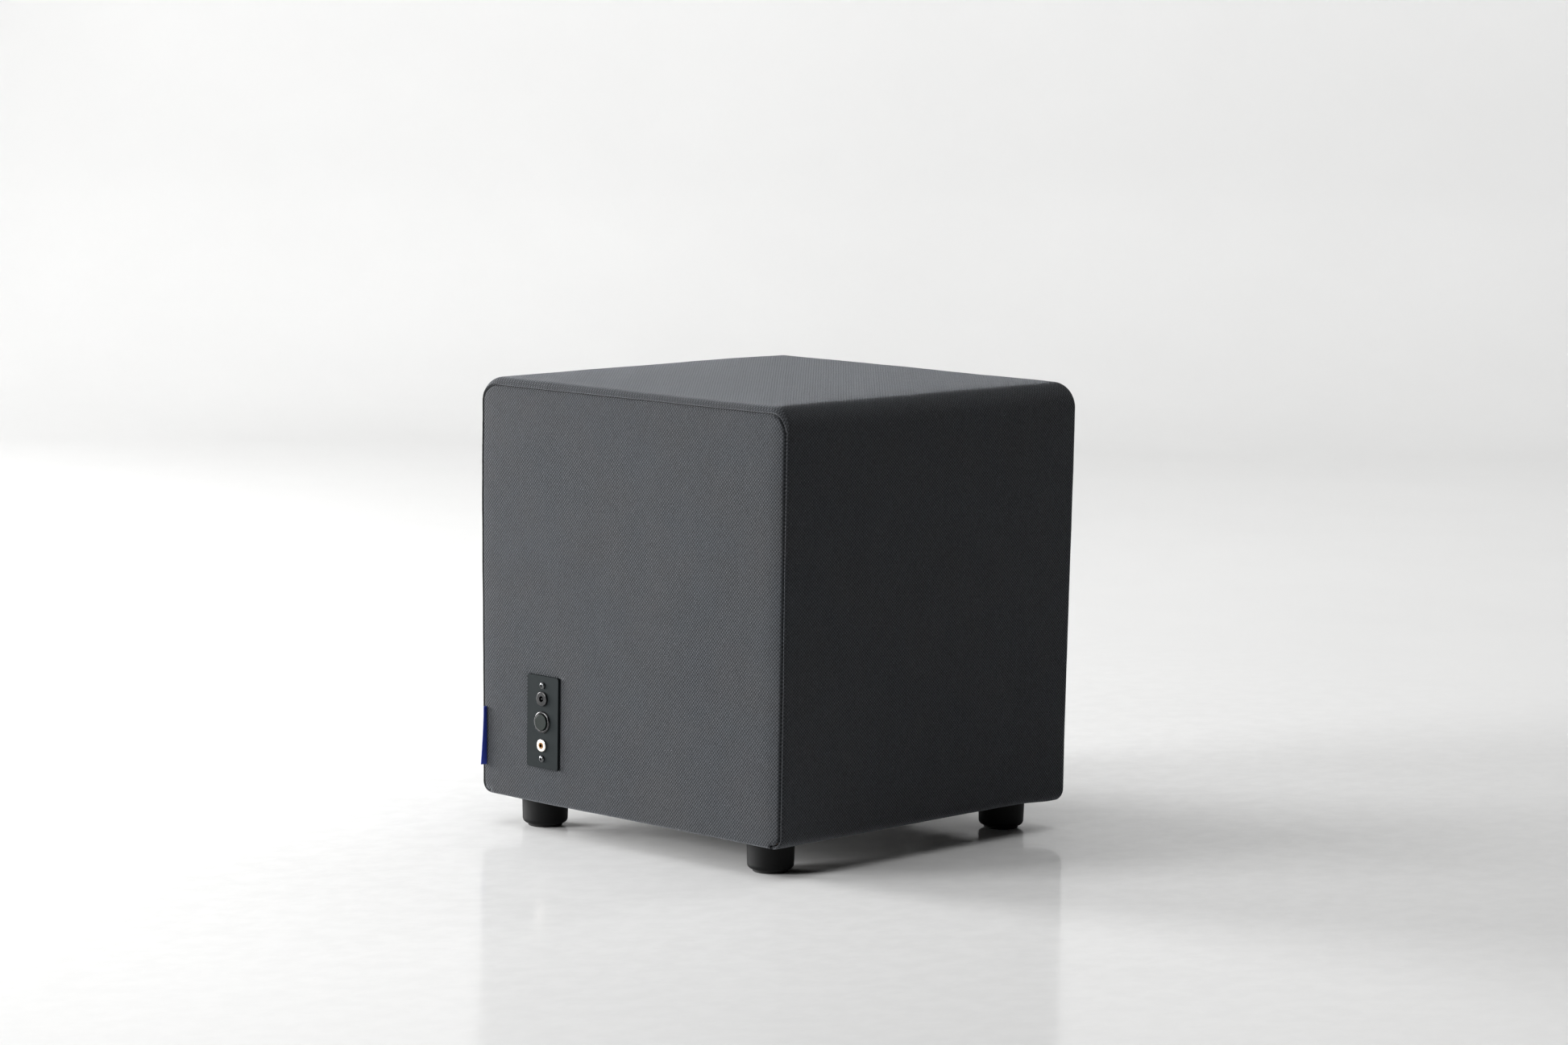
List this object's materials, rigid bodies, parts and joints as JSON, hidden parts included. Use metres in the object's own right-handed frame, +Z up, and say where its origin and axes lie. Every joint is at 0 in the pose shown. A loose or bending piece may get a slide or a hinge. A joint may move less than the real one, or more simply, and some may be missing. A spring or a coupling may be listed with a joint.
{
  "type": "subwoofer",
  "caption": "Fabric-covered cube subwoofer on round feet, down-firing woofer under a steel grille, control plate with power inlet, push button and audio socket.",
  "frame": {"origin": "on the floor, under the middle of the cube", "axes": "+Z up; -Y out of the side with the control plate; +X to the right when facing that side"},
  "size_m": [0.4, 0.4064, 0.435],
  "materials": {
    "fibreboard": "matt raw board",
    "foam": "open-cell foam sheet",
    "grey_fabric": "dark grey woven upholstery cloth",
    "blue_ribbon": "blue woven ribbon",
    "dust_cloth": "black non-woven cloth",
    "zinc_steel": "zinc-plated steel",
    "slate_plastic": "matt slate-grey moulding",
    "black_rubber": "matt black rubber",
    "black_plastic": "satin black plastic",
    "black_steel": "black-coated steel",
    "gloss_black": "polished black plastic",
    "brass": "plain brass",
    "nickel": "bright nickel plate",
    "circuit_board": "green solder mask",
    "cable_sleeve": "black sleeve",
    "cast_aluminium": "cast aluminium",
    "ferrite": "dark sintered ferrite",
    "aluminium_foil": "rolled foil",
    "copper": "enamelled copper wire",
    "black_paper": "pressed paper pulp",
    "spider_cloth": "resin-dipped woven cloth",
    "nylon": "white nylon",
    "capacitor_can": "sleeved aluminium can"
  },
  "bodies": {
    "cabinet": {"base_baffle": "fibreboard", "cabinet_left": "fibreboard", "cabinet_right": "fibreboard", "cabinet_front": "fibreboard", "cabinet_rear": "fibreboard", "cabinet_top": "fibreboard", "window_brace": "fibreboard", "foam_front": "foam", "foam_rear": "foam", "foam_left": "foam", "foam_right": "foam", "foam_top": "foam", "cover_front_panel": "grey_fabric", "cover_rear_panel": "grey_fabric", "cover_band": "grey_fabric", "side_label": "blue_ribbon", "bottom_cloth": "dust_cloth", "staples": "zinc_steel", "control_plate": "slate_plastic", "plate_gasket": "black_rubber", "module_cup": "black_plastic", "plate_screws": "black_steel", "dc_socket": "gloss_black", "dc_centre_pin": "brass", "dc_nut": "zinc_steel", "button_bezel": "gloss_black", "button_nut": "zinc_steel", "audio_jack_body": "black_plastic", "audio_jack_nut": "nickel", "panel_board": "circuit_board", "panel_harness": "cable_sleeve", "woofer_basket": "cast_aluminium", "woofer_gasket": "black_rubber", "woofer_screws": "black_steel", "top_plate": "zinc_steel", "ferrite_magnet": "ferrite", "back_yoke": "zinc_steel", "spider": "spider_cloth", "grille": "black_steel", "grille_screws": "black_steel", "foot_front_left": "black_plastic", "foot_front_right": "black_plastic", "foot_rear_left": "black_plastic", "foot_rear_right": "black_plastic", "foot_pads": "black_rubber", "foot_bolts": "zinc_steel", "foot_t_nuts": "zinc_steel", "amplifier_board": "circuit_board", "board_standoffs": "nylon", "amp_heatsink": "cast_aluminium", "amp_capacitors": "capacitor_can", "amp_chokes": "copper", "speaker_lead": "cable_sleeve"},
    "push_button": {"button_cap": "black_plastic", "button_spring": "zinc_steel"},
    "woofer_cone": {"cone": "black_paper", "dust_cap": "black_paper", "coil_former": "aluminium_foil", "voice_coil": "copper", "surround": "black_rubber"}
  },
  "joints": [
    {"name": "button_press", "type": "slide", "parent": "cabinet", "child": "push_button", "axis": [0, 1, 0], "range_m": [0, 0.0025], "stiffness_N_per_m": 800, "springref_m": -0.0005, "deforming": ["button_spring"]},
    {"name": "cone_travel", "type": "slide", "parent": "cabinet", "child": "woofer_cone", "axis": [0, 0, 1], "range_m": [-0.005, 0.005], "stiffness_N_per_m": 3000, "deforming": ["surround", "spider"]}
  ]
}
